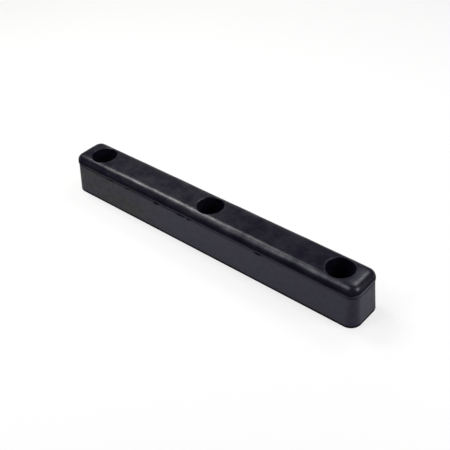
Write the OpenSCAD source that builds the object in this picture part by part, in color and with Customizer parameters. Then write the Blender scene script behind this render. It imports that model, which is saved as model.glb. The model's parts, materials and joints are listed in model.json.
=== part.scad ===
// Moulded rubber dock bumper: a long bar with a flat mounting face underneath,
// a rounded strike face on top and a row of counterbored bolt holes.
// Millimetres. The origin is the middle of the mounting face, +X runs along the
// bar and +Z points from the mounting face to the strike face.

/* [Bar] */
// Length of the base, before its edge is rounded
length = 457; // [250:1:900]
// Width of the base, before its edge is rounded
base_w = 54; // [48:0.5:80]
// Height from the mounting face to the strike face
height = 56; // [42:0.5:80]
// Plan radius of the four corners at the base
corner_r = 14; // [8:0.5:20]

/* [Moulded wall] */
// Inward lean of each wall, from the base up to the parting line
lean = 3; // [0.5:0.1:5]
// Radius of the edge round the mounting face
base_edge_r = 1; // [0.2:0.1:3]
// Radius of the wall's upper edge, just under the parting line
shoulder_r = 1; // [0.3:0.1:2]
// Depth of the parting groove behind the wall
groove_depth = 1; // [0.3:0.1:3]
// Open height of the parting groove
groove_h = 1.5; // [0.2:0.1:2.5]

/* [Strike cap] */
// Height of the cap above the parting line
cap_h = 13; // [10:0.5:20]
// How far the cap stands proud of the wall under it
lip = 0.6; // [0.1:0.1:2]
// Radius of the cap's lower edge
lip_edge_r = 0.4; // [0.1:0.1:1]
// Radius of the large edge round the strike face
top_edge_r = 10; // [3:0.5:12]

/* [Bolt holes] */
// Number of bolt holes in the row
hole_count = 3; // [2:1:6]
// Distance from each end of the base to the centre of the nearest hole
end_margin = 38; // [30:0.5:70]
// Diameter of the bolt holes
bolt_d = 14; // [9:0.5:20]
// Diameter of the counterbores for the bolt heads
counterbore_d = 34; // [24:0.5:38]
// Thickness of rubber left under each bolt head
seat_t = 19; // [8:0.5:30]
// Radius of the rounded rim of each counterbore
rim_r = 1.2; // [0.3:0.1:2.5]

/* [Hidden] */
$fn = 96;
rubber_black = "#232228";

// Every cutter runs this far past the face that it leaves through
overrun = 2;
// The wall's face lies this far inside the rounds at its two edges, so that it crosses them cleanly
weld = 0.002;
// The rim's round would end this far above the strike face, so it meets the face at a slight angle
rim_lift = 0.1;
// The strike face keeps at least this plan radius at its corners
corner_keep = 0.5;

parting_z = height - cap_h;
shoulder_z = parting_z - groove_h;
wall_angle = atan(lean / parting_z);
cap_r = corner_r - lean + lip;
top_round = min(top_edge_r, cap_r - corner_keep, cap_h - lip_edge_r);

corner_x = length / 2 - corner_r;
corner_y = base_w / 2 - corner_r;
hole_pitch = (length - 2 * end_margin) / (hole_count - 1);

// Distance from a corner's axis out to the leaning wall at height z
function wall_reach(z) = corner_r - lean * z / parting_z;

// Centre of a round of radius r at height z that touches the wall from inside
function wall_round_centre(r, z) = [wall_reach(z) - r / cos(wall_angle), z];

// Point where the wall's face meets that round
function wall_round_touch(r, z) =
    wall_round_centre(r, z) + (r - weld) * [cos(wall_angle), sin(wall_angle)];

// A quarter disc, for rounding an outer edge
module quarter_round(r) {
    intersection() {
        circle(r);
        square(r);
    }
}

// Section of the leaning wall, from a corner's axis out to the wall
module wall_section() {
    base_z = base_edge_r;
    upper_z = shoulder_z - shoulder_r;
    polygon([
        [0, 0],
        [wall_round_centre(base_edge_r, base_z)[0], 0],
        wall_round_touch(base_edge_r, base_z),
        wall_round_touch(shoulder_r, upper_z),
        [wall_round_centre(shoulder_r, upper_z)[0], shoulder_z],
        [0, shoulder_z],
    ]);
    translate(wall_round_centre(base_edge_r, base_z)) circle(base_edge_r);
    translate(wall_round_centre(shoulder_r, upper_z)) circle(shoulder_r);
}

// Section of the cap, from a corner's axis out to its proud edge
module cap_section() {
    square_r = cap_r - lip_edge_r;
    translate([0, parting_z]) square([square_r, cap_h - top_round]);
    translate([0, parting_z + lip_edge_r]) square([cap_r, cap_h - top_round - lip_edge_r]);
    translate([square_r, parting_z + lip_edge_r]) mirror([0, 1]) quarter_round(lip_edge_r);
    translate([0, parting_z]) square([cap_r - top_round, cap_h]);
    translate([cap_r - top_round, height - top_round]) quarter_round(top_round);
}

// Section of one whole side: wall, the web behind the parting groove, and cap
module side_section() {
    wall_section();
    square([wall_reach(parting_z) - groove_depth, height - top_round]);
    cap_section();
}

// Section of the bar across its width
module bar_section() {
    for (side = [0, 1])
        mirror([side, 0])
            translate([corner_y, 0]) side_section();
    translate([-corner_y, 0]) square([2 * corner_y, height]);
}

// The solid bar: a long run, two end runs and four round corners
module bar() {
    rotate([90, 0, 90])
        linear_extrude(2 * corner_x, center = true) bar_section();
    for (end = [0, 1])
        mirror([end, 0, 0])
            translate([corner_x, 0, 0]) {
                rotate([90, 0, 0])
                    linear_extrude(2 * corner_y, center = true) side_section();
                for (side = [0, 1])
                    mirror([0, side, 0])
                        translate([0, corner_y, 0])
                            rotate_extrude(angle = 90) side_section();
            }
}

// Half section of one stepped bolt hole, from its axis outwards
module hole_section() {
    bore_r = counterbore_d / 2;
    rim_z = height + rim_lift - rim_r;
    translate([0, -overrun]) square([bolt_d / 2, seat_t + overrun]);
    translate([0, seat_t]) square([bore_r, height - seat_t + overrun]);
    difference() {
        translate([bore_r, rim_z]) square([rim_r, rim_r + overrun]);
        translate([bore_r + rim_r, rim_z]) circle(rim_r);
    }
}

module bumper() {
    color(rubber_black)
        difference() {
            bar();
            for (i = [0 : hole_count - 1])
                translate([(i - (hole_count - 1) / 2) * hole_pitch, 0, 0])
                    rotate_extrude() hole_section();
        }
}

bumper();
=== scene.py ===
"""Dresses the moulded rubber dock bumper: its smooth skin, mould marks, finish, light and camera."""
import json
import math

import bmesh
import bpy
from bpy.props import FloatProperty, FloatVectorProperty, IntProperty, PointerProperty
from mathutils import Matrix, Vector, noise
from mathutils.geometry import delaunay_2d_cdt


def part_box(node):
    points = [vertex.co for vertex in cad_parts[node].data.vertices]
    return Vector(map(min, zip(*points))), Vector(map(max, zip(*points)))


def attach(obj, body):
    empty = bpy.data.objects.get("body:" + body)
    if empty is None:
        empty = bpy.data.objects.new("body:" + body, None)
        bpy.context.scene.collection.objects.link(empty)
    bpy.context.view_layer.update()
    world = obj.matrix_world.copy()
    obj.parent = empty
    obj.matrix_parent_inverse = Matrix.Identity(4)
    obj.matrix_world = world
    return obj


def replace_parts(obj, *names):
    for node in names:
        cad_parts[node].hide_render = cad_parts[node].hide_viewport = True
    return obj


bl_info = {
    "name": "Moulded dock bumper",
    "version": (1, 0, 0),
    "blender": (4, 5, 0),
    "location": "View3D > Sidebar > Bumper",
    "description": "Builds the skin, flash, finish and studio of a moulded rubber dock bumper",
    "category": "Object",
}

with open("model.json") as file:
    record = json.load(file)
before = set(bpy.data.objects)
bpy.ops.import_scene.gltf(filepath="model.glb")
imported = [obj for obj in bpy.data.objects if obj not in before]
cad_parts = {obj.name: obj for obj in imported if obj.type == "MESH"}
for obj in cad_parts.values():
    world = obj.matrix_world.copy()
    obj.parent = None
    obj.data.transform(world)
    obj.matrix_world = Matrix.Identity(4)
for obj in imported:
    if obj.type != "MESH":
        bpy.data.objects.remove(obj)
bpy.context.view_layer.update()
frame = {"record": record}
MM = 0.001

# What the frame says about the bar
BODY = "root"
NODE = "bumper"
BAR_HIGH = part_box(NODE)[1]
MOUNTS = {mount["name"]: mount for mount in frame["record"]["mounts"]}
BOLT_HOLE = MOUNTS["centre_bolt_hole"]["dims"]
COUNTERBORE = MOUNTS["centre_counterbore"]["dims"]
HOLE_XS = [MOUNTS[side + "_counterbore"]["pos_m"][0] for side in ("left", "centre", "right")]

# How finely the skin is laid out: the swept wall ends on a ring this far inside the cap's outline
TOP_RING_DEPTH = 5.5 * MM
TOP_GRID_STEP = 3.5 * MM
TOP_ROWS = 16
EDGE_ROWS = 6
RIM_ROWS = 6
APRON_ROWS = (0.9 * MM, 2.2 * MM)
SHARP_ANGLE = math.radians(42.0)
CORNER_SEGMENTS = 48

# Steps along each stretch of the wall's section and of a bolt well's
ROUND_STEPS = 6
LIP_STEPS = 4
WALL_STEPS = 14
LAND_STEPS = 3
SEAT_STEPS = 3
BORE_STEPS = 6
BOLT_STEPS = 4

# Room kept free between rows of points, as shares of a step
EDGE_ROOM = 0.3
GRID_ROOM = 0.4

# The swept well ends this many rim radii under the strike face
WELL_TOP = 3.0
# The inner rows of the top edge keep at least this plan radius
LEAST_RADIUS = 0.2 * MM
# What lies this little outside a counterbore still counts as its wall
WELL_ROOM = 0.1 * MM
# A face counts as part of a hole when its middle lies within this share of the radius
JUST_INSIDE = 0.999
# How triangles are laid between rings: only inside them, and points closer than this are one
TRIANGLES_INSIDE = 1
SAME_POINT = 1e-7

# Shape of an edge: a plain round, or one that runs out more softly
ROUND_EDGE = 2.0
SOFT_EDGE = 2.5


def length(name, description, millimetres):
    """A size that a user can change, in metres."""
    return FloatProperty(name=name, description=description, default=millimetres * MM,
                         unit="LENGTH", precision=5)


def share(name, description, default):
    """A plain number from 0 to 1."""
    return FloatProperty(name=name, description=description, default=default,
                         min=0.0, max=1.0, subtype="FACTOR")


def number(name, description, default):
    """A plain number of any size."""
    return FloatProperty(name=name, description=description, default=default)


def colour(name, description, default):
    """A linear colour."""
    return FloatVectorProperty(name=name, description=description, default=default,
                               size=3, subtype="COLOR")


class BarSizes(bpy.types.PropertyGroup):
    """Section and plan of the moulded bar."""
    corner_radius: length("Corner radius", "Plan radius of the corners at the base", 14.0)
    lean: length("Lean", "Inward lean of the wall from the base to the parting line", 3.0)
    base_edge: length("Base edge", "Radius of the edge round the mounting face", 1.0)
    shoulder: length("Shoulder", "Radius of the wall's upper edge under the parting line", 1.0)
    groove_depth: length("Groove depth", "Depth of the parting groove behind the wall", 1.0)
    groove_height: length("Groove height", "Open height of the parting groove", 1.5)
    cap_height: length("Cap height", "Height of the cap above the parting line", 13.0)
    lip: length("Lip", "How far the cap stands proud of the wall", 0.6)
    lip_edge: length("Lip edge", "Radius of the cap's lower edge", 0.4)
    top_edge: length("Top edge", "Size of the large soft edge of the strike face", 11.2)
    crown: length("Crown", "How far the strike face falls from its middle to its sides", 0.8)
    crown_width: length("Crown width", "Width of the falling border of the strike face", 22.0)
    rim: length("Hole rim", "Radius of the rounded rim of each counterbore", 1.2)
    seat_edge: length("Seat edge", "Radius of the edges of each bolt seat", 0.6)
    skin_step: length("Skin step", "Spacing of the skin's points along the bar", 1.6)
    wave: length("Mould wave", "Height of the slow waves in the moulded skin", 0.30)
    wave_length: length("Mould wave length", "Length of the slow waves in the moulded skin", 30.0)
    edge_wave: length("Edge wave", "Height of the slow waves along the large edge", 0.9)
    edge_wave_length: length("Edge wave length", "Length of the slow waves along the large edge", 38.0)
    tear: length("Tear", "How far the parting edge is torn down along the wall", 0.7)
    hole_sides: IntProperty(name="Hole sides", description="Points round each bolt hole",
                            default=96, min=12)


class FlashSizes(bpy.types.PropertyGroup):
    """The thin film of rubber squeezed out at the parting line."""
    reach: length("Reach", "How far the flash stands out from the bottom of the groove at most", 1.2)
    thickness: length("Thickness", "Thickness of the flash at its root", 0.3)
    step: length("Step", "Spacing of the flash's points along the parting line", 0.8)
    tear: length("Tear length", "Length of the torn stretches along the flash", 22.0)
    seed: number("Seed", "Picks one pattern of tears", 3.0)


class RubberLook(bpy.types.PropertyGroup):
    """Colours and finish of the black rubber, with the painted shade of its groove and foot."""
    cap: colour("Cap", "Colour of the cap above the parting line", (0.0040, 0.0034, 0.0090))
    cap_bloom: colour("Cap bloom", "Colour of the cap where it has bloomed", (0.0086, 0.0078, 0.0130))
    wall: colour("Wall", "Colour of the duller wall under the parting line", (0.0254, 0.0240, 0.0390))
    wall_bloom: colour("Wall bloom", "Colour of the wall where it has bloomed", (0.0266, 0.0268, 0.0240))
    # Painted shade: a near-black colour laid where shadow falls, in the parting groove under the lip,
    # down its torn spots and on the foot and mounting face of the wall
    painted_shade: colour("Painted shade", "Colour of the groove and of the foot of the wall", (0.0040, 0.0038, 0.0050))
    gloss: share("Gloss", "Weight of the cap's gloss at its polished end", 0.50)
    dull_gloss: share("Dull gloss", "Weight of the cap's gloss at its dull end", 0.44)
    wall_gloss: share("Wall gloss", "Weight of the wall's gloss", 0.36)
    gloss_spread: share("Gloss spread", "How much the gloss drifts over the cap", 0.65)
    gloss_roughness: share("Gloss roughness", "Roughness of the gloss", 0.28)
    cap_roughness: share("Cap roughness", "Roughness of the cap's rubber under its gloss", 0.45)
    wall_roughness: share("Wall roughness", "Roughness of the wall", 0.55)
    torn_roughness: share("Torn roughness", "Roughness of torn flash", 0.60)
    roughness_spread: share("Roughness spread", "How much the roughness drifts over the skin", 0.10)
    specular: share("Specular", "Strength of the bare rubber's reflection", 0.008)
    grain: length("Grain", "Size of the fine grain in the skin", 0.45)
    grain_depth: length("Grain depth", "Depth of the fine grain in the skin", 0.006)
    speck: length("Specks", "Spacing of the small specks in the skin", 7.0)
    speck_depth: length("Speck depth", "Height of the small specks in the skin", 0.08)
    cloud: length("Cloud", "Size of the cloudy patches of bloom", 26.0)
    mottle: length("Mottle", "Size of the small patches in the finish", 6.5)
    wall_mottle: share("Wall mottle", "How much the wall's colour drifts from patch to patch", 0.28)
    bloom_mottle: share("Bloom mottle", "How much more it drifts at the bloomed end", 0.36)
    gloss_mottle: share("Gloss mottle", "How much the cap's gloss drifts from patch to patch", 0.30)


class StudioLook(bpy.types.PropertyGroup):
    """Floor, light and camera."""
    floor: colour("Floor", "Colour of the floor", (0.785, 0.770, 0.735))
    floor_glow: share("Floor glow", "Share of the floor that shows as plain white", 0.68)
    room: colour("Room", "Colour of the room round the bar", (0.03, 0.03, 0.03))
    light: share("Light", "Level of the lamps", 1.0)
    azimuth: number("Azimuth", "Camera's turn round the bar, in degrees", 42.80)
    elevation: number("Elevation", "Camera's height over the floor, in degrees", 38.28)
    roll: number("Roll", "Camera's turn about its own axis, in degrees", -3.82)
    distance: length("Distance", "Distance from the camera to its aim", 1012.8)
    aim: FloatVectorProperty(name="Aim", description="Point that the camera looks at", size=3,
                             default=(0.0040, 0.0194, 0.0145), subtype="TRANSLATION", precision=5)
    lens: number("Lens", "Focal length in millimetres on a 36 mm sensor", 63.88)


# Section and plan of the bar

def clamped(value):
    """The value, kept from 0 to 1."""
    return min(max(value, 0.0), 1.0)


def hole_distance(x, y):
    """Distance in plan from a point to the nearest bolt hole's axis."""
    return min(math.hypot(x - hole_x, y) for hole_x in HOLE_XS)


class Section:
    """Heights and insets of the bar's section, worked out from the frame and the sizes."""

    def __init__(self, sizes):
        self.sizes = sizes
        self.height = BAR_HIGH.z
        self.parting_z = self.height - sizes.cap_height
        self.shoulder_z = self.parting_z - sizes.groove_height
        self.lean_angle = math.atan2(sizes.lean, self.parting_z)
        # The solid's box touches the round of the base edge, a little inside the wall's own foot
        foot_gap = self.round_inset(sizes.base_edge, sizes.base_edge) - sizes.base_edge
        self.half_x = BAR_HIGH.x + foot_gap
        self.half_y = BAR_HIGH.y + foot_gap
        self.cap_inset = sizes.lean - sizes.lip
        self.bore_r = COUNTERBORE["r_mm"] * MM
        self.bolt_r = BOLT_HOLE["r_mm"] * MM
        self.seat_z = BOLT_HOLE["length_mm"] * MM
        self.well_top_z = self.height - WELL_TOP * sizes.rim
        # Angle round the top edge at which the swept wall ends
        self.ring_angle = math.acos(1.0 - TOP_RING_DEPTH / sizes.top_edge)

    def round_inset(self, radius, z):
        """Inset of the centre of a round at height z that touches the leaning wall from inside."""
        return self.sizes.lean * z / self.parting_z + radius / math.cos(self.lean_angle)

    def cap_depth(self, x, y):
        """How far a plan point lies inside the cap's outline."""
        corner = self.sizes.corner_radius - self.cap_inset
        over_x = abs(x) - (self.half_x - self.sizes.corner_radius)
        over_y = abs(y) - (self.half_y - self.sizes.corner_radius)
        outside = math.hypot(max(over_x, 0.0), max(over_y, 0.0))
        return corner - outside - min(max(over_x, over_y), 0.0)

    def top_z(self, x, y):
        """Height of the strike face at a plan point, with its soft edge and the rims of the holes."""
        to_hole = hole_distance(x, y) - self.bore_r
        edge_drop = round_drop(self.sizes.top_edge, self.cap_depth(x, y), SOFT_EDGE)
        return self.height - edge_drop - round_drop(self.sizes.rim, to_hole, ROUND_EDGE)

    def crown_drop(self, x, y):
        """How far the crowned strike face lies under its highest line at a plan point."""
        wide = self.sizes.crown_width
        to_end = self.half_x - self.cap_inset - abs(x)
        to_side = self.half_y - self.cap_inset - abs(y)
        shares = [clamped(1.0 - gap / wide) for gap in (to_end, to_side)]
        return self.sizes.crown * sum(part * part for part in shares)


def round_drop(size, depth, power):
    """How far an edge of a size lies under the face it runs into, at a depth inside the outline."""
    short = clamped(1.0 - depth / size)
    return size * (1.0 - (1.0 - short ** power) ** (1.0 / power))


def arc(centre, radius, start, end, steps):
    """Points of an arc as (inset, height); angles in degrees run from outwards (0) to up (90)."""
    angles = [math.radians(start + (end - start) * i / steps) for i in range(steps + 1)]
    return [(centre[0] - radius * math.cos(a), centre[1] + radius * math.sin(a)) for a in angles]


def between(start, end, steps):
    """Evenly spaced points of a straight stretch, without its two ends."""
    return [tuple(a + (b - a) * i / steps for a, b in zip(start, end)) for i in range(1, steps)]


def wall_profile(section):
    """The wall's section as (inset, height), from the mounting face up to a ring on the top edge."""
    sizes = section.sizes
    lean = math.degrees(section.lean_angle)
    upper_z = section.shoulder_z - sizes.shoulder
    groove_inset = sizes.lean + sizes.groove_depth
    base_centre = (section.round_inset(sizes.base_edge, sizes.base_edge), sizes.base_edge)
    shoulder_centre = (section.round_inset(sizes.shoulder, upper_z), upper_z)
    lip_centre = (section.cap_inset + sizes.lip_edge, section.parting_z + sizes.lip_edge)
    angles = [section.ring_angle * i / TOP_ROWS for i in range(TOP_ROWS + 1)]
    depths = [sizes.top_edge * (1.0 - math.cos(angle)) for angle in angles]
    drops = [round_drop(sizes.top_edge, depth, SOFT_EDGE) for depth in depths]

    base = arc(base_centre, sizes.base_edge, -90.0, lean, ROUND_STEPS)
    shoulder = arc(shoulder_centre, sizes.shoulder, lean, 90.0, ROUND_STEPS)
    groove = [(groove_inset, section.shoulder_z), (groove_inset, section.parting_z)]
    lip = arc(lip_centre, sizes.lip_edge, -90.0, 0.0, LIP_STEPS)
    top = [(section.cap_inset + depth, section.height - drop) for depth, drop in zip(depths, drops)]
    wall = between(base[-1], shoulder[0], WALL_STEPS)
    land = between(lip[-1], top[0], LAND_STEPS)
    return base + wall + shoulder + groove + lip + land + top


def well_profile(section):
    """Half section of a bolt well as (radius, height), from under its rim down to the mounting face."""
    edge = section.sizes.seat_edge
    top = (section.bore_r, section.well_top_z)
    foot = (section.bolt_r, 0.0)
    corner = arc((section.bore_r - edge, section.seat_z + edge), -edge, 0.0, 90.0, SEAT_STEPS)
    lip = arc((section.bolt_r + edge, section.seat_z - edge), edge, 90.0, 0.0, SEAT_STEPS)
    bore = between(top, corner[0], BORE_STEPS)
    bolt = between(lip[-1], foot, BOLT_STEPS)
    return [top] + bore + corner + lip + bolt + [foot]


def profile_mesh(name, points):
    """A chain of edges through the points of a section; the sweep lays -Y of it upwards."""
    mesh = bpy.data.meshes.new(name)
    edges = [(i, i + 1) for i in range(len(points) - 1)]
    mesh.from_pydata([(out, -z, 0.0) for out, z in points], edges, [])
    return mesh


# Node trees

def add_node(tree, kind, inputs=None, **settings):
    """Adds a node; an input is given by name or number, as a value or as the socket to link from."""
    node = tree.nodes.new(kind)
    for name, value in settings.items():
        setattr(node, name, value)
    for name, value in (inputs or {}).items():
        if isinstance(value, bpy.types.NodeSocket):
            tree.links.new(value, node.inputs[name])
        else:
            node.inputs[name].default_value = value
    return node


def math_node(tree, operation, *values):
    """The result of one arithmetic step."""
    return add_node(tree, "ShaderNodeMath", dict(enumerate(values)), operation=operation).outputs[0]


def blend_values(tree, mask, first, second):
    """A number that goes from the first to the second with a mask."""
    ends = {"Value": mask, "To Min": first, "To Max": second}
    return add_node(tree, "ShaderNodeMapRange", ends).outputs[0]


def float_sockets(*names):
    """Number sockets of the given names."""
    return {name: "NodeSocketFloat" for name in names}


def new_tree(name, kind, inputs, outputs):
    """A node group with named sockets; returns it, its inputs and its output node."""
    tree = bpy.data.node_groups.new(name, kind)
    for side, sockets in (("INPUT", inputs), ("OUTPUT", outputs)):
        for socket_name, socket_type in sockets.items():
            tree.interface.new_socket(socket_name, in_out=side, socket_type=socket_type)
    return tree, tree.nodes.new("NodeGroupInput").outputs, tree.nodes.new("NodeGroupOutput")


def geometry_tree(name, sizes):
    """A geometry tree with named sizes and a material, which takes a section and gives a mesh."""
    geometry = {"Geometry": "NodeSocketGeometry"}
    inputs = {**geometry, **sizes, "Material": "NodeSocketMaterial"}
    return new_tree(name, "GeometryNodeTree", inputs, geometry)


def new_object(name, data):
    """An object in the scene: a mesh, a lamp or a camera."""
    made = bpy.data.objects.new(name, data)
    bpy.context.scene.collection.objects.link(made)
    return made


def grown_mesh(name, mesh, tree, values):
    """Runs a geometry tree on a mesh and returns the result as a plain mesh."""
    holder = new_object(name, mesh)
    modifier = holder.modifiers.new(name, "NODES")
    modifier.node_group = tree
    for item in tree.interface.items_tree:
        if item.in_out == "INPUT" and item.name in values:
            modifier[item.identifier] = values[item.name]
    evaluated = holder.evaluated_get(bpy.context.evaluated_depsgraph_get())
    result = bpy.data.meshes.new_from_object(evaluated)
    holder.modifiers.remove(modifier)
    bpy.data.objects.remove(holder)
    return result


PLAN_SIZES = float_sockets("Length", "Width", "Corner Radius", "Step")


def plan_path(tree, inputs):
    """Nodes for the rounded rectangle that a section is swept round."""
    plan = add_node(tree, "GeometryNodeCurvePrimitiveQuadrilateral",
                    {"Width": inputs["Length"], "Height": inputs["Width"]})
    rounded = add_node(tree, "GeometryNodeFilletCurve",
                       {"Curve": plan.outputs[0], "Count": CORNER_SEGMENTS,
                        "Radius": inputs["Corner Radius"]}, mode="POLY")
    spaced = add_node(tree, "GeometryNodeResampleCurve",
                      {"Curve": rounded.outputs[0], "Length": inputs["Step"]}, mode="LENGTH")
    return spaced.outputs[0]


def sweep(tree, inputs, path, **more):
    """Nodes that sweep the given section along a level path."""
    section = add_node(tree, "GeometryNodeMeshToCurve", {"Mesh": inputs["Geometry"]})
    level = add_node(tree, "GeometryNodeSetCurveNormal", {"Curve": path}, mode="Z_UP")
    curves = {"Curve": level.outputs[0], "Profile Curve": section.outputs[0], **more}
    return add_node(tree, "GeometryNodeCurveToMesh", curves).outputs[0]


def finish_tree(tree, inputs, geometry, output):
    """Ends a geometry tree: real geometry with its material."""
    real = add_node(tree, "GeometryNodeRealizeInstances", {"Geometry": geometry})
    dressed = add_node(tree, "GeometryNodeSetMaterial",
                       {"Geometry": real.outputs[0], "Material": inputs["Material"]})
    tree.links.new(dressed.outputs[0], output.inputs["Geometry"])
    return tree


def wall_tree():
    """Sweeps the wall's section round the plan."""
    tree, inputs, output = geometry_tree("Wall sweep", PLAN_SIZES)
    swept = sweep(tree, inputs, plan_path(tree, inputs))
    return finish_tree(tree, inputs, swept, output)


def well_tree():
    """Turns a bolt well about its axis and sets a row of them along the bar."""
    tree, inputs, output = geometry_tree("Bolt wells", {
        "Turning Radius": "NodeSocketFloat",
        "Sides": "NodeSocketInt",
        "Count": "NodeSocketInt",
        "First": "NodeSocketVector",
        "Pitch": "NodeSocketVector",
    })
    circle = add_node(tree, "GeometryNodeCurvePrimitiveCircle",
                      {"Resolution": inputs["Sides"], "Radius": inputs["Turning Radius"]})
    well = sweep(tree, inputs, circle.outputs[0])
    row = add_node(tree, "GeometryNodeMeshLine",
                   {"Count": inputs["Count"], "Start Location": inputs["First"],
                    "Offset": inputs["Pitch"]})
    placed = add_node(tree, "GeometryNodeInstanceOnPoints", {"Points": row.outputs[0], "Instance": well})
    return finish_tree(tree, inputs, placed.outputs[0], output)


# Least share of its reach that the flash keeps, and how sharply torn and whole stretches differ
FLASH_LEAST = 0.25
FLASH_CONTRAST = 3.2
# Thickness of the flash at its tip, as a share of its root's, and its points closer than this are one
FLASH_TIP = 0.15
FLASH_MERGE = 0.01 * MM


def flash_tree():
    """Sweeps a thin wedge of flash round the parting line, torn off unevenly along it."""
    sizes = {**PLAN_SIZES, **float_sockets("Height", "Tears Per Metre", "Seed")}
    tree, inputs, output = geometry_tree("Parting flash", sizes)
    tears = add_node(tree, "ShaderNodeTexNoise",
                     {"Scale": inputs["Tears Per Metre"], "W": inputs["Seed"],
                      "Detail": 4.0, "Roughness": 0.7}, noise_dimensions="4D")
    centring = 0.5 - 0.5 * FLASH_CONTRAST
    spread = math_node(tree, "MULTIPLY_ADD", tears.outputs["Fac"], FLASH_CONTRAST, centring)
    reach = blend_values(tree, spread, FLASH_LEAST, 1.0)
    swept = sweep(tree, inputs, plan_path(tree, inputs), Scale=reach)
    lift = add_node(tree, "ShaderNodeCombineXYZ", {"Z": inputs["Height"]})
    raised = add_node(tree, "GeometryNodeSetPosition", {"Geometry": swept, "Offset": lift.outputs[0]})
    return finish_tree(tree, inputs, raised.outputs[0], output)


# Skin of the bar

def open_rings(bm):
    """Ordered loops of vertices round each opening of the mesh."""
    seen = set()
    rings = []
    for start in bm.edges:
        if not start.is_boundary or start in seen:
            continue
        seen.add(start)
        ring = list(start.verts)
        while True:
            onward = [e for e in ring[-1].link_edges if e.is_boundary and e not in seen]
            if not onward:
                break
            seen.add(onward[0])
            ring.append(onward[0].other_vert(ring[-1]))
        if ring[-1] is ring[0]:
            ring.pop()
        rings.append(ring)
    return rings


def fill_face(bm, outer, holes, inner_points, height, in_hole):
    """Fills the face between an outer ring and the rings of its holes with well-shaped triangles."""
    ring_verts = []
    edges = []
    for ring in [outer] + holes:
        first = len(ring_verts)
        edges += [(first + i, first + (i + 1) % len(ring)) for i in range(len(ring))]
        ring_verts += ring
    plan = [vert.co.xy for vert in ring_verts] + [Vector(point) for point in inner_points]
    points, _, faces, origins, _, _ = delaunay_2d_cdt(plan, edges, [], TRIANGLES_INSIDE, SAME_POINT)
    verts = []
    for point, origin in zip(points, origins):
        on_ring = [i for i in origin if i < len(ring_verts)]
        if on_ring:
            verts.append(ring_verts[on_ring[0]])
        else:
            verts.append(bm.verts.new((point.x, point.y, height(point.x, point.y))))
    for corners in faces:
        middle = sum((points[i] for i in corners), Vector((0.0, 0.0))) / len(corners)
        if not in_hole(middle):
            bm.faces.new([verts[i] for i in corners])


def run_places(half, step):
    """Evenly spaced places along a straight run, from its far end to its near one."""
    count = max(int(2.0 * half / step), 1)
    return [half - 2.0 * half * i / count for i in range(count + 1)]


def plan_ring(section, depth, step):
    """Evenly spaced points round the cap's outline, a depth inside it."""
    half_x = section.half_x - section.cap_inset - depth
    half_y = section.half_y - section.cap_inset - depth
    radius = max(section.sizes.corner_radius - section.cap_inset - depth, LEAST_RADIUS)
    straight_x = half_x - radius
    straight_y = half_y - radius
    points = []
    for sign in (-1.0, 1.0):
        points += [(sign * x, sign * half_y) for x in run_places(straight_x, step)]
        points += [(-sign * half_x, sign * y) for y in run_places(straight_y, step)]
    corners = max(int(0.5 * math.pi * radius / step), 1)
    for sign_x in (-1.0, 1.0):
        for sign_y in (-1.0, 1.0):
            for i in range(1, corners):
                angle = 0.5 * math.pi * i / corners
                points.append((sign_x * (straight_x + radius * math.cos(angle)),
                               sign_y * (straight_y + radius * math.sin(angle))))
    return points


def circle_points(centre_x, radius, count, turn):
    """Points of a circle round a bolt hole's axis; turn shifts them by a share of one step."""
    angles = [2.0 * math.pi * (i + turn) / count for i in range(count)]
    return [(centre_x + radius * math.cos(a), radius * math.sin(a)) for a in angles]


def strike_face_points(section):
    """Plan points of the strike face: rows on its round edge, rings round the holes and a grid."""
    sizes = section.sizes
    clear = section.bore_r + sizes.rim + APRON_ROWS[-1]
    ring_depth = TOP_RING_DEPTH + 0.5 * sizes.skin_step

    def off_holes(point, room):
        return hole_distance(*point) > clear + room

    points = []
    rim_angles = [0.5 * math.pi * (i + 1) / RIM_ROWS for i in range(RIM_ROWS)]
    rim_radii = [section.bore_r + sizes.rim * (1.0 - math.cos(a)) for a in rim_angles]
    for hole_x in HOLE_XS:
        for radius in rim_radii:
            points += circle_points(hole_x, radius, sizes.hole_sides, 0.0)
        for apron in APRON_ROWS:
            around = circle_points(hole_x, section.bore_r + sizes.rim + apron, sizes.hole_sides, 0.5)
            points += [p for p in around if section.cap_depth(*p) > ring_depth]
    start = section.ring_angle
    for k in range(1, EDGE_ROWS + 1):
        angle = start + (0.5 * math.pi - start) * k / EDGE_ROWS
        row = plan_ring(section, sizes.top_edge * (1.0 - math.cos(angle)), sizes.skin_step)
        points += [p for p in row if off_holes(p, EDGE_ROOM * sizes.skin_step)]
    span_x = int(section.half_x / TOP_GRID_STEP)
    span_y = int(section.half_y / TOP_GRID_STEP)
    for i in range(-span_x, span_x + 1):
        for j in range(-span_y, span_y + 1):
            point = ((i + 0.5 * (j % 2)) * TOP_GRID_STEP, j * TOP_GRID_STEP)
            on_flat = section.cap_depth(*point) > sizes.top_edge + 0.5 * TOP_GRID_STEP
            if on_flat and off_holes(point, GRID_ROOM * TOP_GRID_STEP):
                points.append(point)
    return points


def close_skin(bm, section):
    """Adds the strike face with its hole rims, and the mounting face, to the wall and the wells."""
    middle_z = 0.5 * section.height
    rings = open_rings(bm)

    def reach(ring):
        return max(vert.co.x for vert in ring) - min(vert.co.x for vert in ring)

    upper = sorted((ring for ring in rings if ring[0].co.z > middle_z), key=reach)
    lower = sorted((ring for ring in rings if ring[0].co.z < middle_z), key=reach)
    rims = []
    for ring in upper[:-1]:
        rim = [bm.verts.new((v.co.x, v.co.y, section.top_z(v.co.x, v.co.y))) for v in ring]
        rims.append(rim)
        for i in range(len(ring)):
            after = (i + 1) % len(ring)
            bm.faces.new((ring[i], ring[after], rim[after], rim[i]))

    def in_hole(radius):
        return lambda point: hole_distance(*point) < radius

    in_bore = in_hole(JUST_INSIDE * section.bore_r)
    in_bolt_hole = in_hole(JUST_INSIDE * section.bolt_r)
    fill_face(bm, upper[-1], rims, strike_face_points(section), section.top_z, in_bore)
    fill_face(bm, lower[-1], lower[:-1], [], lambda x, y: 0.0, in_bolt_hole)


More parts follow.
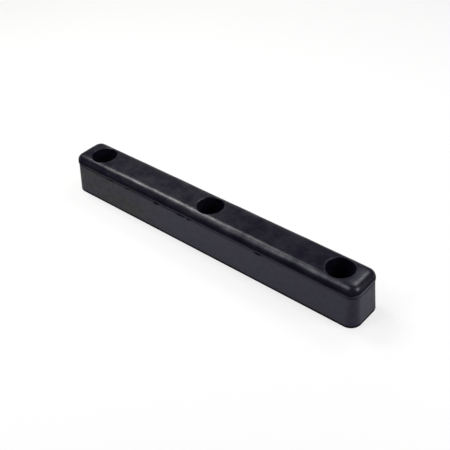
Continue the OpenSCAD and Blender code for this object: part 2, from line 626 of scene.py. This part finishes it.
# Heights between which the slow waves set in, and the share and fineness of the ripple on them
WAVE_FADE = (3.0 * MM, 9.0 * MM)
RIPPLE = (0.4, 2.7)

# The large edge's waves set in this far from a hole's rim, and fade from the front to a share at the back
EDGE_WAVE_CLEAR = 6.0 * MM
EDGE_WAVE_TURN = 0.6
EDGE_WAVE_BACK = 0.15

# How far down the wall a tear is felt, the length of the tears, and the share and fineness of ragged ones
TEAR_FADE = 3.0 * MM
TEAR_LENGTH = 45.0 * MM
RAGGED = (0.6, 6.0)

# Centre along the bar, half length and depth of each torn spot on the front wall, in millimetres
TORN_SPOTS = (
    (-158.0, 8.0, 1.0),
    (-126.0, 5.0, 0.9),
    (-73.0, 6.0, 2.0),
    (-31.0, 9.0, 1.3),
    (-17.0, 4.0, 1.7),
    (92.0, 5.5, 1.7),
)


def layered_noise(place, size, fine_share, fine_times):
    """Slow noise of a size with a finer one on it."""
    return noise.noise(place / size) + fine_share * noise.noise(place * fine_times / size)


def tear_depth(point, sizes):
    """How far the parting edge is torn down at a point of the wall."""
    depth = sizes.tear * clamped(layered_noise(point, TEAR_LENGTH, *RAGGED))
    if point.y < 0.0:
        for centre, half, deep in TORN_SPOTS:
            near = clamped(1.0 - abs(point.x - centre * MM) / (half * MM))
            depth = max(depth, deep * MM * math.sqrt(near))
    return depth


def edge_swell(place, upright, section):
    """How far the large edge of the strike face swells at a point, by how upright the skin is there."""
    sizes = section.sizes
    to_rim = hole_distance(place.x, place.y) - section.bore_r - sizes.rim
    clear = clamped(to_rim / EDGE_WAVE_CLEAR)
    # Full half way round the edge, and none on the wall and on the strike face
    on_edge = 4.0 * upright * (1.0 - upright)
    front = clamped(0.5 - 0.5 * place.y / (EDGE_WAVE_TURN * section.half_y))
    height = sizes.edge_wave * (EDGE_WAVE_BACK + (1.0 - EDGE_WAVE_BACK) * front)
    return height * clear * on_edge * noise.noise(place / sizes.edge_wave_length)


def settle_skin(bm, section):
    """Crowns the strike face, tears the parting edge and lets the skin swell, as moulded rubber does."""
    sizes = section.sizes
    wave_start, wave_full = WAVE_FADE
    lip_z = section.parting_z + sizes.lip_edge
    bm.normal_update()
    moves = []
    for vert in bm.verts:
        place = vert.co
        in_well = hole_distance(place.x, place.y) < section.bore_r + WELL_ROOM
        fade = 0.0 if in_well else clamped((place.z - wave_start) / (wave_full - wave_start))
        sink = layered_noise(place, sizes.wave_length, *RIPPLE) - max(vert.normal.z, 0.0)
        move = vert.normal * (0.5 * sizes.wave * fade * sink)
        if place.z > lip_z:
            move += vert.normal * edge_swell(place, clamped(vert.normal.z), section)
            move.z -= section.crown_drop(place.x, place.y) * (place.z - lip_z) / (section.height - lip_z)
        elif not in_well and place.z < section.parting_z - 0.5 * sizes.groove_height:
            near_edge = clamped(1.0 - (section.shoulder_z - place.z) / TEAR_FADE)
            move.z -= near_edge * tear_depth(place, sizes)
        moves.append(move)
    for vert, move in zip(bm.verts, moves):
        vert.co += move
        vert.co.z = min(vert.co.z, section.height)


def new_piece(name, mesh):
    """Links a finished mesh to the scene as a piece of the bar."""
    piece = new_object(name, mesh)
    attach(piece, BODY)
    return piece


class DOCK_OT_skin(bpy.types.Operator):
    """Builds the moulded bar as one closed skin with its wells, grooves and rounded edges"""
    bl_idname = "dock.skin"
    bl_label = "Moulded skin"

    def execute(self, context):
        sizes = context.scene.dock_bar
        section = Section(sizes)
        rubber = rubber_material("moulded_rubber", context, torn=False)
        outwards = [(-inset, z) for inset, z in wall_profile(section)]
        wall = grown_mesh("wall", profile_mesh("wall_section", outwards), wall_tree(), {
            "Length": 2.0 * section.half_x,
            "Width": 2.0 * section.half_y,
            "Corner Radius": sizes.corner_radius,
            "Step": sizes.skin_step,
            "Material": rubber,
        })
        turned = [(radius - section.bolt_r, z) for radius, z in well_profile(section)]
        wells = grown_mesh("wells", profile_mesh("well_section", turned), well_tree(), {
            "Turning Radius": section.bolt_r,
            "Sides": sizes.hole_sides,
            "Count": len(HOLE_XS),
            "First": (HOLE_XS[0], 0.0, 0.0),
            "Pitch": (HOLE_XS[1] - HOLE_XS[0], 0.0, 0.0),
            "Material": rubber,
        })
        bm = bmesh.new()
        bm.from_mesh(wall)
        bm.from_mesh(wells)
        close_skin(bm, section)
        bmesh.ops.recalc_face_normals(bm, faces=bm.faces)
        settle_skin(bm, section)
        for face in bm.faces:
            face.smooth = True
            face.material_index = 0
        mesh = bpy.data.meshes.new("moulded_bar")
        bm.to_mesh(mesh)
        bm.free()
        mesh.materials.append(rubber)
        mesh.set_sharp_from_angle(angle=SHARP_ANGLE)
        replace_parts(new_piece("moulded_bar", mesh), NODE)
        return {"FINISHED"}


class DOCK_OT_flash(bpy.types.Operator):
    """Builds the torn flash that stands in the parting groove"""
    bl_idname = "dock.flash"
    bl_label = "Parting flash"

    def execute(self, context):
        flash = context.scene.dock_flash
        section = Section(context.scene.dock_bar)
        root_inset = section.sizes.lean + section.sizes.groove_depth
        half = 0.5 * flash.thickness
        tip = FLASH_TIP * half
        wedge = [(0.0, -half), (flash.reach, -tip), (flash.reach, tip), (0.0, half)]
        chain = profile_mesh("flash_section", wedge + wedge[:1])
        mesh = grown_mesh("flash", chain, flash_tree(), {
            "Length": 2.0 * (section.half_x - root_inset),
            "Width": 2.0 * (section.half_y - root_inset),
            "Corner Radius": section.sizes.corner_radius - root_inset,
            "Step": flash.step,
            "Height": 0.5 * (section.shoulder_z + section.parting_z),
            "Tears Per Metre": 1.0 / flash.tear,
            "Seed": flash.seed,
            "Material": rubber_material("torn_flash", context, torn=True),
        })
        bm = bmesh.new()
        bm.from_mesh(mesh)
        bmesh.ops.remove_doubles(bm, verts=bm.verts, dist=FLASH_MERGE)
        bmesh.ops.recalc_face_normals(bm, faces=bm.faces)
        bm.to_mesh(mesh)
        bm.free()
        new_piece("parting_flash", mesh)
        return {"FINISHED"}


# Finish

def bar_place(tree):
    """The place on the bar, in metres."""
    return add_node(tree, "ShaderNodeTexCoord").outputs["Object"]


def bar_noise(tree, per_metre, detail, roughness):
    """Noise over the bar, with so many patches to a metre."""
    values = {"Vector": bar_place(tree), "Scale": per_metre, "Detail": detail, "Roughness": roughness}
    return add_node(tree, "ShaderNodeTexNoise", values).outputs["Fac"]


def cloud_group():
    """Soft cloudy patches, as bloom makes them on rubber."""
    found = bpy.data.node_groups.get("Cloudy bloom")
    if found:
        return found
    tree, inputs, output = new_tree("Cloudy bloom", "ShaderNodeTree",
                                    float_sockets("Patches Per Metre", "Contrast"),
                                    float_sockets("Mask"))
    patches = bar_noise(tree, inputs["Patches Per Metre"], detail=4.0, roughness=0.55)
    centred = math_node(tree, "SUBTRACT", patches, 0.5)
    spread = math_node(tree, "MULTIPLY", centred, inputs["Contrast"])
    mask = add_node(tree, "ShaderNodeClamp", {"Value": math_node(tree, "ADD", spread, 0.5)})
    tree.links.new(mask.outputs[0], output.inputs["Mask"])
    return tree


# Share of the cells that hold a speck, and a speck's size as a share of its cell
SPECK_SHARE = 0.12
SPECK_SIZE = 0.09
# Fineness and depth of the shallow swells, as shares of the grain's
SWELL_SCALE = 0.11
SWELL_DEPTH = 1.5


def grain_group():
    """Fine grain, shallow swells and a few small specks of moulded rubber, as a height in metres."""
    found = bpy.data.node_groups.get("Moulded grain")
    if found:
        return found
    sockets = float_sockets("Grains Per Metre", "Depth", "Specks Per Metre", "Speck Depth")
    tree, inputs, output = new_tree("Moulded grain", "ShaderNodeTree", sockets, float_sockets("Height"))
    fine = bar_noise(tree, inputs["Grains Per Metre"], detail=3.0, roughness=0.5)
    swell_scale = math_node(tree, "MULTIPLY", inputs["Grains Per Metre"], SWELL_SCALE)
    swell = bar_noise(tree, swell_scale, detail=2.0, roughness=0.5)
    grain = math_node(tree, "MULTIPLY_ADD", swell, SWELL_DEPTH, fine)

    cells = add_node(tree, "ShaderNodeTexVoronoi",
                     {"Vector": bar_place(tree), "Scale": inputs["Specks Per Metre"]})
    lottery = add_node(tree, "ShaderNodeSeparateColor", {"Color": cells.outputs["Color"]})
    picked = math_node(tree, "LESS_THAN", lottery.outputs[0], SPECK_SHARE)
    speck = add_node(tree, "ShaderNodeMapRange",
                     {"Value": cells.outputs["Distance"], "From Min": SPECK_SIZE, "From Max": 0.0},
                     interpolation_type="SMOOTHSTEP")
    specks = math_node(tree, "MULTIPLY", speck.outputs[0], picked)
    raised = math_node(tree, "MULTIPLY", specks, inputs["Speck Depth"])
    height = math_node(tree, "MULTIPLY_ADD", grain, inputs["Depth"], raised)
    tree.links.new(height, output.inputs["Height"])
    return tree


# Numbers of the mix node's colour sockets
COLOUR_A, COLOUR_B, COLOUR_OUT = 6, 7, 2


def mix_colours(tree, mask, first, second):
    """A mix of two colours by a mask."""
    pair = {"Factor": mask, COLOUR_A: first, COLOUR_B: second}
    return add_node(tree, "ShaderNodeMix", pair, data_type="RGBA").outputs[COLOUR_OUT]


# How sharply cloudy patches stand out, and how much deeper the grain of torn rubber is
CLOUD_CONTRAST = 3.2
TORN_GRAIN = 2.0

# What lies less than this inside the outline is outer skin, and the ends fade in over half of it
SKIN_DEPTH = 8.0 * MM
END_FADE = 0.5 * SKIN_DEPTH

# The wall's paler finish runs on over the parting line by a lip, which is blurred and higher at the ends
# Below the parting line this is the wall's own colour; above it, on the cap's lip, the pale colour is
# painted reflection, taller at the ends where the land reflects more
PALE_LIP = 1.4 * MM
LIP_BLUR = 0.7 * MM
END_LIFT = 2.2 * MM

# Painted shade in the groove and on the foot of the wall: how softly it ends at the groove, and the
# heights between which it leaves the foot of the wall
PARTING_BLUR = 0.15 * MM
GROOVE_BLUR = 2.0 * PARTING_BLUR
FOOT_HIGH = (2.6 * MM, 4.0 * MM)

# Heights over the parting line between which the cap's gloss sets in, and places along the bar, in
# metres, between which that gloss turns dull and the wall's bloom ends
POLISH_FADE = (6.0 * MM, 9.0 * MM)
POLISHED_X = -0.02
DULL_X = 0.10
BLOOMED_X = -0.13
CLEAN_X = -0.04

# Share of its gloss that the wall loses to bloom and at its round corners, and where a corner starts
BLOOM_DULLS = 0.2
CORNER_DULLS = 0.5
CORNER_FADE = (-7.0 * MM, 0.5 * MM)


def ramp(tree, value, start, end):
    """A mask that runs from 0 at one value to 1 at another."""
    ends = {"Value": value, "From Min": start, "From Max": end}
    return add_node(tree, "ShaderNodeMapRange", ends).outputs[0]


def torn_depth(tree, axes):
    """How far the torn spots reach down the front wall, from the place on the bar; the painted shade in
    the groove follows them down.
    """
    depth = 0.0
    for centre, half, deep in TORN_SPOTS:
        off = math_node(tree, "ABSOLUTE", math_node(tree, "SUBTRACT", axes["X"], centre * MM))
        spot = math_node(tree, "MULTIPLY", ramp(tree, off, half * MM, 0.5 * half * MM), deep * MM)
        depth = math_node(tree, "MAXIMUM", spot, depth)
    return math_node(tree, "MULTIPLY", depth, math_node(tree, "LESS_THAN", axes["Y"], 0.0))


def past_skin(tree, place, half):
    """How far a place along one axis lies past the depth of the outer skin."""
    return math_node(tree, "SUBTRACT", math_node(tree, "ABSOLUTE", place), half - SKIN_DEPTH)


def skin_masks(tree, section):
    """Masks from the place on the bar, by name."""
    axes = add_node(tree, "ShaderNodeSeparateXYZ", {"Vector": bar_place(tree)}).outputs
    past_x = past_skin(tree, axes["X"], section.half_x)
    past_y = past_skin(tree, axes["Y"], section.half_y)

    # Painted reflection: the wall's paler colour reaches up over the cap's lip, higher at the ends
    lip_z = section.parting_z + PALE_LIP
    at_end = ramp(tree, past_x, 0.0, END_FADE)
    lifted = math_node(tree, "MULTIPLY_ADD", at_end, -END_LIFT, axes["Z"])
    under = ramp(tree, lifted, lip_z + LIP_BLUR, lip_z - LIP_BLUR)
    outside = math_node(tree, "GREATER_THAN", math_node(tree, "MAXIMUM", past_x, past_y), 0.0)
    mounting = math_node(tree, "LESS_THAN", axes["Z"], PARTING_BLUR)
    wall = math_node(tree, "MULTIPLY", under, math_node(tree, "MAXIMUM", outside, mounting))

    # Painted shade: the foot and mounting face, in the floor's shadow, and the groove under the lip,
    # reaching further down at the torn spots
    foot = ramp(tree, axes["Z"], FOOT_HIGH[1], FOOT_HIGH[0])
    torn_z = math_node(tree, "ADD", axes["Z"], torn_depth(tree, axes))
    groove_floor = ramp(tree, torn_z, section.shoulder_z - GROOVE_BLUR, section.shoulder_z)
    groove_roof = ramp(tree, axes["Z"], section.parting_z + GROOVE_BLUR, section.parting_z)
    groove = math_node(tree, "MULTIPLY", groove_floor, groove_roof)
    painted_shade = math_node(tree, "MULTIPLY", math_node(tree, "MAXIMUM", foot, groove), under)

    polish_start, polish_full = (section.parting_z + rise for rise in POLISH_FADE)
    bloomed = ramp(tree, axes["X"], CLEAN_X, BLOOMED_X)
    corner = ramp(tree, math_node(tree, "MINIMUM", past_x, past_y), *CORNER_FADE)
    rubbed = math_node(tree, "MAXIMUM", math_node(tree, "MULTIPLY", bloomed, BLOOM_DULLS),
                       math_node(tree, "MULTIPLY", corner, CORNER_DULLS))
    return {
        "wall": wall,
        "painted_shade": painted_shade,
        "polish": ramp(tree, axes["Z"], polish_start, polish_full),
        "dull": ramp(tree, axes["X"], POLISHED_X, DULL_X),
        "bloomed": bloomed,
        "rubbed": rubbed,
    }


def cloud_mask(tree, size):
    """A mask of cloudy patches of about the given size."""
    values = {"Patches Per Metre": 1.0 / size, "Contrast": CLOUD_CONTRAST}
    return add_node(tree, "ShaderNodeGroup", values, node_tree=cloud_group()).outputs["Mask"]


def wall_colour(tree, look, masks, bloom, mottle):
    """Colour of the wall, warmer where it has bloomed and drifting from patch to patch."""
    warm = math_node(tree, "MULTIPLY", bloom, masks["bloomed"])
    wall = mix_colours(tree, warm, (*look.wall, 1.0), (*look.wall_bloom, 1.0))
    strength = math_node(tree, "MULTIPLY_ADD", masks["bloomed"], look.bloom_mottle, look.wall_mottle)
    shade = math_node(tree, "MULTIPLY_ADD", mottle, strength, 1.0)
    return add_node(tree, "ShaderNodeVectorMath", {0: wall, "Scale": shade}, operation="SCALE").outputs[0]


def gloss_weight(tree, look, masks, bloom, mottle):
    """Weight of the gloss: patchy on the cap, fainter on the wall and none on the painted shade."""
    gloss = blend_values(tree, masks["dull"], look.gloss, look.dull_gloss)
    patchy = math_node(tree, "MULTIPLY_ADD", bloom, look.gloss_spread, 1.0 - 0.5 * look.gloss_spread)
    patchy = math_node(tree, "MULTIPLY_ADD", mottle, look.gloss_mottle, patchy)
    on_cap = math_node(tree, "MULTIPLY", math_node(tree, "MULTIPLY", gloss, patchy), masks["polish"])
    # The wall keeps its gloss except under the painted shade
    unshaded_wall = math_node(tree, "MAXIMUM", math_node(tree, "SUBTRACT", masks["wall"], masks["painted_shade"]), 0.0)
    on_wall = math_node(tree, "MULTIPLY_ADD", masks["rubbed"], -look.wall_gloss, look.wall_gloss)
    return math_node(tree, "MULTIPLY_ADD", unshaded_wall, on_wall, on_cap)


def new_material(name):
    """A material with nodes; returns it, its tree and its shader."""
    material = bpy.data.materials.new(name)
    material.use_nodes = True
    tree = material.node_tree
    return material, tree, tree.nodes["Principled BSDF"]


def rubber_material(name, context, torn):
    """Black rubber: the duller wall and the shinier cap of the moulding, or the torn edge of flash."""
    look = context.scene.dock_rubber
    material, tree, shader = new_material(name)
    shader.inputs["Specular IOR Level"].default_value = look.specular

    bloom = cloud_mask(tree, look.cloud)
    skin = mix_colours(tree, bloom, (*look.cap, 1.0), (*look.cap_bloom, 1.0))
    drift = math_node(tree, "MULTIPLY_ADD", bloom, look.roughness_spread, -0.5 * look.roughness_spread)
    if torn:
        roughness = math_node(tree, "ADD", drift, look.torn_roughness)
    else:
        masks = skin_masks(tree, Section(context.scene.dock_bar))
        mottle = math_node(tree, "SUBTRACT", cloud_mask(tree, look.mottle), 0.5)
        skin = mix_colours(tree, masks["wall"], skin, wall_colour(tree, look, masks, bloom, mottle))
        # Painted shade over the groove, its torn spots and the foot of the wall
        skin = mix_colours(tree, masks["painted_shade"], skin, (*look.painted_shade, 1.0))
        finish = blend_values(tree, masks["wall"], look.cap_roughness, look.wall_roughness)
        roughness = math_node(tree, "ADD", drift, finish)
        gloss = gloss_weight(tree, look, masks, bloom, mottle)
        tree.links.new(gloss, shader.inputs["Coat Weight"])
        shader.inputs["Coat Roughness"].default_value = look.gloss_roughness
    tree.links.new(skin, shader.inputs["Base Color"])
    tree.links.new(roughness, shader.inputs["Roughness"])

    grain = add_node(tree, "ShaderNodeGroup", {
        "Grains Per Metre": 1.0 / look.grain,
        "Depth": look.grain_depth * (TORN_GRAIN if torn else 1.0),
        "Specks Per Metre": 1.0 / look.speck,
        "Speck Depth": look.speck_depth,
    }, node_tree=grain_group())
    bump = add_node(tree, "ShaderNodeBump",
                    {"Height": grain.outputs["Height"], "Distance": 1.0, "Strength": 1.0})
    tree.links.new(bump.outputs["Normal"], shader.inputs["Normal"])
    return material


# Stage

# Half the floor's side, the height of its border and its gap under the mounting face, in metres
FLOOR_HALF = 12.0
BORDER_HIGH = 3.0
FLOOR_GAP = 0.1 * MM
FLOOR_ROUGHNESS = 0.9

# The camera's sensor in millimetres, and the nearest that it sees in metres
SENSOR_WIDTH = 36.0
NEAREST_SEEN = 0.01

# How far the lamps stand from the bar, in metres, and their tints
LAMP_DISTANCE = 1.3
WHITE = (1.0, 1.0, 1.0)
COOL = (0.90, 0.925, 1.0)

# Each lamp's name, its azimuth and elevation in degrees as for the camera, its size in metres,
# its power in watts and its tint
SOFTBOXES = (
    ("key_softbox", 262.0, 51.0, 0.32, 2.4, WHITE),
    ("side_softbox", 253.0, 60.0, 0.32, 3.8, WHITE),
    ("left_softbox", 275.0, 52.0, 0.36, 3.6, WHITE),
    ("near_softbox", 326.0, 60.0, 0.60, 6.7, COOL),
    ("front_softbox", 335.0, 40.0, 0.45, 2.5, COOL),
    ("end_softbox", 180.0, 53.0, 0.36, 2.8, COOL),
    ("rear_softbox", 164.0, 52.0, 0.40, 2.4, WHITE),
    ("back_softbox", 216.0, 24.0, 0.45, 0.45, WHITE),
    ("low_softbox", 232.0, 36.0, 0.45, 0.20, WHITE),
    ("right_softbox", 104.0, 36.0, 0.60, 8.8, COOL),
)


def floor_material(look):
    """A pale floor that shows near white and still takes the bar's shadow."""
    material, tree, shader = new_material("pale_floor")
    shader.inputs["Base Color"].default_value = (*look.floor, 1.0)
    shader.inputs["Roughness"].default_value = FLOOR_ROUGHNESS
    shader.inputs["Specular IOR Level"].default_value = 0.0
    white = add_node(tree, "ShaderNodeEmission", {"Color": (*WHITE, 1.0), "Strength": 1.0})
    path = add_node(tree, "ShaderNodeLightPath").outputs
    seen = math_node(tree, "MAXIMUM", path["Is Camera Ray"], path["Is Glossy Ray"])
    seen = math_node(tree, "MAXIMUM", seen, path["Is Transmission Ray"])
    glow = math_node(tree, "MULTIPLY", seen, look.floor_glow)
    mix = add_node(tree, "ShaderNodeMixShader", {0: glow, 1: shader.outputs[0], 2: white.outputs[0]})
    tree.links.new(mix.outputs[0], tree.nodes["Material Output"].inputs["Surface"])
    return material


def direction(azimuth, elevation):
    """Unit vector from the bar towards a place round it, in the same angles as the camera's."""
    turn, rise = math.radians(azimuth), math.radians(elevation)
    return Vector((math.sin(turn) * math.cos(rise), -math.cos(turn) * math.cos(rise), math.sin(rise)))


def add_softbox(level, name, azimuth, elevation, size, power, tint):
    """A square soft lamp that faces the bar."""
    lamp = bpy.data.lights.new(name, "AREA")
    lamp.shape = "SQUARE"
    lamp.size = size
    lamp.energy = power * level
    lamp.color = tint
    holder = new_object(name, lamp)
    towards = direction(azimuth, elevation)
    holder.location = towards * LAMP_DISTANCE
    holder.rotation_euler = towards.to_track_quat("Z", "Y").to_euler()


class DOCK_OT_stage(bpy.types.Operator):
    """Builds the floor, the studio light and the camera"""
    bl_idname = "dock.stage"
    bl_label = "Studio"

    def execute(self, context):
        scene = context.scene
        look = scene.dock_studio
        scene.view_settings.view_transform = "Standard"
        self.add_floor(look)
        self.add_light(scene, look)
        self.add_camera(scene, look)
        return {"FINISHED"}

    def add_floor(self, look):
        """A wide floor just under the mounting face, with a low upright border far behind the bar."""
        mesh = bpy.data.meshes.new("floor")
        corners = [Vector((x, y, 0.0)) * FLOOR_HALF for x, y in ((-1, -1), (1, -1), (1, 1), (-1, 1))]
        raised = [corner + Vector((0.0, 0.0, BORDER_HIGH)) for corner in corners]
        sides = len(corners)
        border = [(i, (i + 1) % sides, sides + (i + 1) % sides, sides + i) for i in range(sides)]
        mesh.from_pydata(corners + raised, [], [tuple(range(sides)), *border])
        mesh.materials.append(floor_material(look))
        floor = new_object("floor", mesh)
        floor.location.z = -FLOOR_GAP

    def add_light(self, scene, look):
        """A dim even room and soft lamps."""
        world = bpy.data.worlds.new("studio_room")
        scene.world = world
        world.use_nodes = True
        world.node_tree.nodes["Background"].inputs["Color"].default_value = (*look.room, 1.0)
        for softbox in SOFTBOXES:
            add_softbox(look.light, *softbox)

    def add_camera(self, scene, look):
        """A camera at the photograph's viewing angle."""
        camera = bpy.data.cameras.new("camera")
        camera.lens = look.lens
        camera.sensor_width = SENSOR_WIDTH
        camera.clip_start = NEAREST_SEEN
        holder = new_object("camera", camera)
        back = direction(look.azimuth, look.elevation)
        level = direction(look.azimuth + 90.0, 0.0)
        up = back.cross(level)
        roll = math.radians(look.roll)
        right = level * math.cos(roll) + up * math.sin(roll)
        axes = Matrix((right, back.cross(right), back)).transposed().to_4x4()
        holder.matrix_world = Matrix.Translation(Vector(look.aim) + back * look.distance) @ axes
        scene.camera = holder


class DOCK_PT_panel(bpy.types.Panel):
    """Lists the bar's pieces, sizes and finish"""
    bl_idname = "DOCK_PT_panel"
    bl_label = "Dock bumper"
    bl_space_type = "VIEW_3D"
    bl_region_type = "UI"
    bl_category = "Bumper"

    def draw(self, context):
        layout = self.layout
        for operator in OPERATORS:
            layout.operator(operator.bl_idname)
        for name in GROUPS:
            group = getattr(context.scene, name)
            box = layout.box()
            for key in group.__annotations__:
                box.prop(group, key)


GROUPS = {
    "dock_bar": BarSizes,
    "dock_flash": FlashSizes,
    "dock_rubber": RubberLook,
    "dock_studio": StudioLook,
}
OPERATORS = (DOCK_OT_skin, DOCK_OT_flash, DOCK_OT_stage)
CLASSES = (*GROUPS.values(), *OPERATORS, DOCK_PT_panel)


def register():
    for cls in CLASSES:
        bpy.utils.register_class(cls)
    for name, group in GROUPS.items():
        setattr(bpy.types.Scene, name, PointerProperty(type=group))


def unregister():
    for name in GROUPS:
        delattr(bpy.types.Scene, name)
    for cls in reversed(CLASSES):
        bpy.utils.unregister_class(cls)


def main():
    register()
    bpy.ops.dock.skin()
    bpy.ops.dock.flash()
    bpy.ops.dock.stage()


if __name__ == "__main__":
    main()
